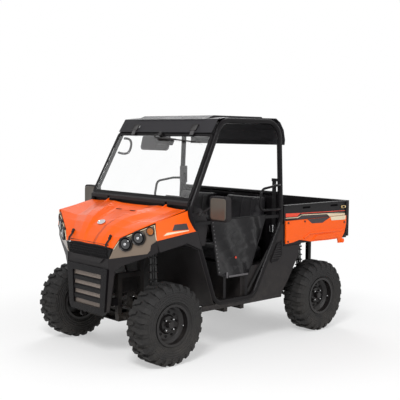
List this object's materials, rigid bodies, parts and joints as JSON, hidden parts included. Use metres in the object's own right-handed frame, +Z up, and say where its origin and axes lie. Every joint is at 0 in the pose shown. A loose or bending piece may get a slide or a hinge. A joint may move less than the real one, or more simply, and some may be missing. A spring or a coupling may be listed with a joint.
{
  "type": "side by side utility vehicle",
  "caption": "Two-seat side by side utility vehicle with a tube cage, hinged hood, steered front wheels and a tilting cargo bed with tailgate.",
  "frame": {"origin": "on the ground under the centre of the vehicle's bounding box", "axes": "+Z up, -Y towards the front of the vehicle, +X to the vehicle's left"},
  "size_m": [1.96, 2.655, 2.012],
  "materials": {
    "orange_panel": "gloss",
    "black_plastic": "satin",
    "black_steel": "satin",
    "seat_vinyl": "matte",
    "webbing": "matte",
    "tyre": "matte",
    "wheel_alloy": "satin",
    "clear_glass": "gloss",
    "lamp_lens": "gloss",
    "amber_lens": "gloss",
    "cast_metal": "satin",
    "bare_steel": "satin",
    "spring_grey": "satin"
  },
  "bodies": {
    "chassis": {"arch_liners": "black_plastic", "bumper": "black_steel", "cage_cross": "black_steel", "cage_left": "black_steel", "cage_right": "black_steel", "cowl": "black_plastic", "dash": "black_plastic", "door_nets": "webbing", "driveline": "cast_metal", "engine_block": "cast_metal", "exhaust": "bare_steel", "fascia": "black_plastic", "fender_left": "orange_panel", "fender_right": "orange_panel", "floor_tub": "black_plastic", "frame": "black_steel", "grille": "black_plastic", "headlamps": "lamp_lens", "lamp_panels": "black_plastic", "mirrors": "black_plastic", "roof": "black_plastic", "seat_backs": "seat_vinyl", "seat_belts": "webbing", "seat_cushions": "seat_vinyl", "shock_absorbers": "spring_grey", "shoulder_guards": "black_steel", "side_panel_left": "black_plastic", "side_panel_right": "black_plastic", "skid_plate": "bare_steel", "steering_gear": "cast_metal", "suspension_arms": "black_steel", "turn_lamps": "amber_lens", "windshield_frame": "black_steel", "windshield_glass": "clear_glass"},
    "hood": {"hood": "orange_panel"},
    "knuckle_left": {"knuckle_left": "cast_metal"},
    "knuckle_right": {"knuckle_right": "cast_metal"},
    "steering_rack": {"steering_rack": "bare_steel"},
    "steering_wheel": {"steering_wheel": "black_plastic"},
    "wheel_front_left": {"rim_front_left": "wheel_alloy", "tyre_front_left": "tyre"},
    "wheel_front_right": {"rim_front_right": "wheel_alloy", "tyre_front_right": "tyre"},
    "wheel_rear_left": {"rim_rear_left": "wheel_alloy", "tyre_rear_left": "tyre"},
    "wheel_rear_right": {"rim_rear_right": "wheel_alloy", "tyre_rear_right": "tyre"},
    "cargo_bed": {"cargo_bed": "black_steel", "bed_panels": "orange_panel"},
    "tailgate": {"tailgate": "black_steel"}
  },
  "joints": [
    {"name": "hood_hinge", "type": "hinge", "parent": "chassis", "child": "hood", "pos_m": [0, -0.797, 1.254], "axis": [-1, 0, 0], "range_deg": [0, 50]},
    {"name": "steer_left", "type": "hinge", "parent": "chassis", "child": "knuckle_left", "pos_m": [0.55, -1, 0.33], "axis": [0, 0, 1], "range_deg": [-30, 30]},
    {"name": "steer_right", "type": "hinge", "parent": "chassis", "child": "knuckle_right", "pos_m": [-0.55, -1, 0.33], "axis": [0, 0, 1], "range_deg": [-30, 30]},
    {"name": "rack_slide", "type": "slide", "parent": "chassis", "child": "steering_rack", "axis": [1, 0, 0], "range_m": [-0.0436, 0.0436]},
    {"name": "steering_wheel_turn", "type": "hinge", "parent": "chassis", "child": "steering_wheel", "pos_m": [0.35, -0.455, 1.085], "axis": [0, 0.8192, 0.5736], "range_deg": [-270, 270]},
    {"name": "wheel_front_left_spin", "type": "hinge", "parent": "knuckle_left", "child": "wheel_front_left", "pos_m": [0.635, -1, 0.33], "axis": [1, 0, 0], "continuous": true},
    {"name": "wheel_front_right_spin", "type": "hinge", "parent": "knuckle_right", "child": "wheel_front_right", "pos_m": [-0.635, -1, 0.33], "axis": [1, 0, 0], "continuous": true},
    {"name": "wheel_rear_left_spin", "type": "hinge", "parent": "chassis", "child": "wheel_rear_left", "pos_m": [0.635, 0.854, 0.33], "axis": [1, 0, 0], "continuous": true},
    {"name": "wheel_rear_right_spin", "type": "hinge", "parent": "chassis", "child": "wheel_rear_right", "pos_m": [-0.635, 0.854, 0.33], "axis": [1, 0, 0], "continuous": true},
    {"name": "bed_tilt", "type": "hinge", "parent": "chassis", "child": "cargo_bed", "pos_m": [0, 1.215, 0.822], "axis": [-1, 0, 0], "range_deg": [0, 45]},
    {"name": "tailgate_hinge", "type": "hinge", "parent": "cargo_bed", "child": "tailgate", "pos_m": [0, 1.316, 0.878], "axis": [-1, 0, 0], "range_deg": [0, 90]}
  ],
  "couplings": [
    {"joint": "steer_right", "follows": "steer_left", "ratio": 1},
    {"joint": "rack_slide", "follows": "steer_left", "m_per_rad": 0.083},
    {"joint": "steering_wheel_turn", "follows": "steer_left", "ratio": 9}
  ]
}
